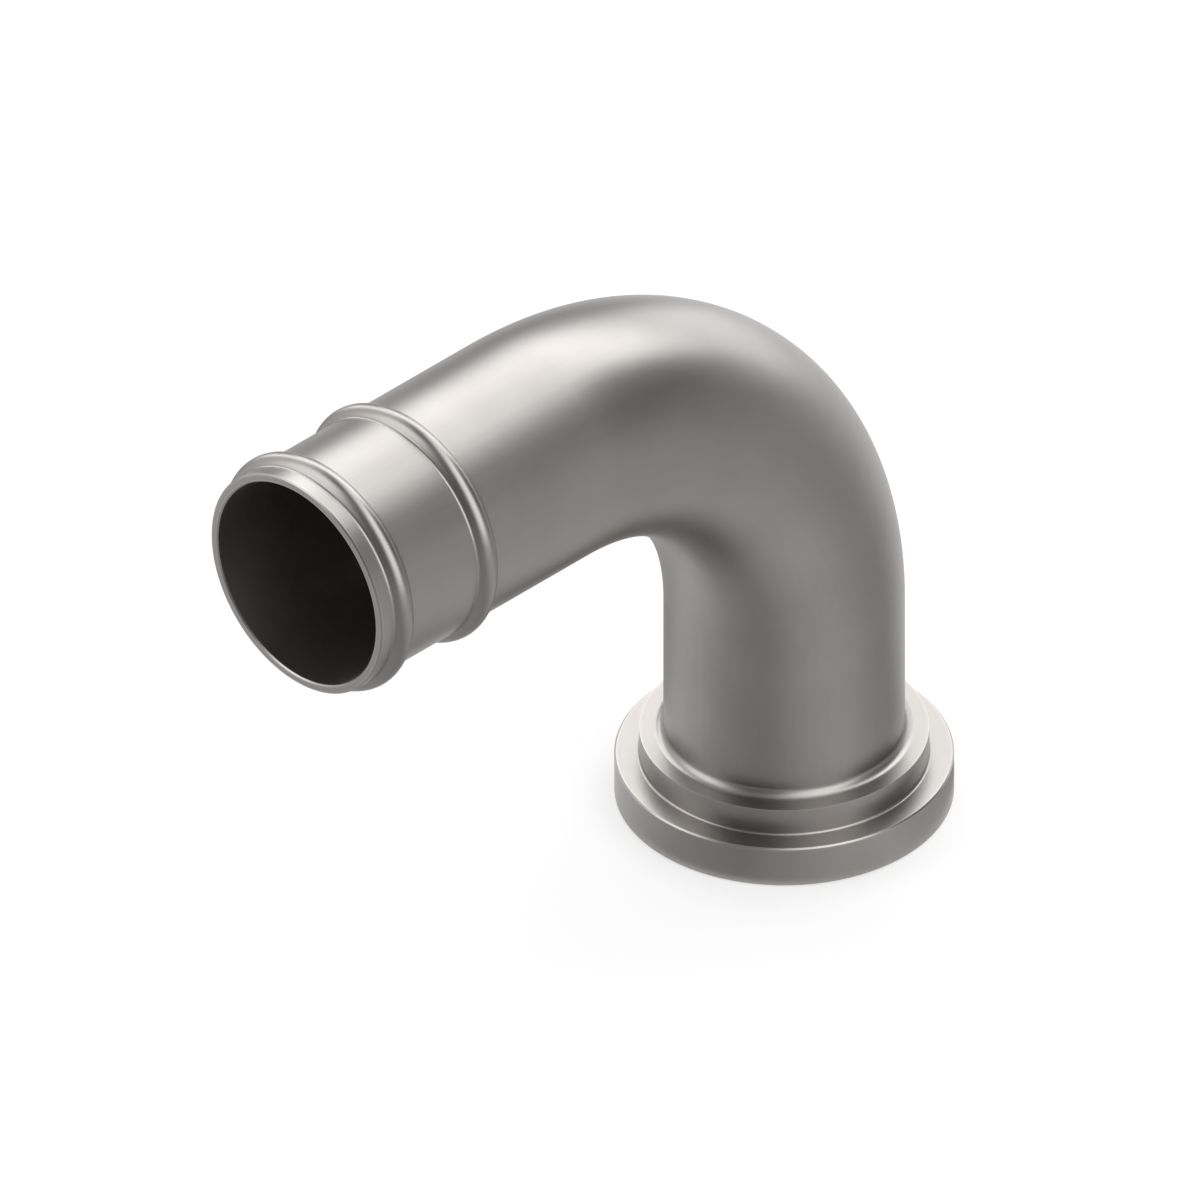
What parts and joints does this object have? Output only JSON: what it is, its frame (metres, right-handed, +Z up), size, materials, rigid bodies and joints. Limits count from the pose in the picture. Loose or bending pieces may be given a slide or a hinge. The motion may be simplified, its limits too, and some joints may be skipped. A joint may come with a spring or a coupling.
{
  "type": "flanged elbow",
  "caption": "Steel tube elbow turning a right angle, with a stepped clamp flange head at one end and a beaded spigot for a hose at the other.",
  "frame": {"origin": "centre of the flange's sealing face", "axes": "+Z up the flange leg, away from the port block; +X along the hose leg, towards its open end; the XZ plane is the plane of symmetry"},
  "size_m": [0.1807, 0.0714, 0.1524],
  "materials": {
    "steel": "satin bare steel"
  },
  "bodies": {
    "root": {"flanged_elbow": "steel"}
  },
  "joints": []
}
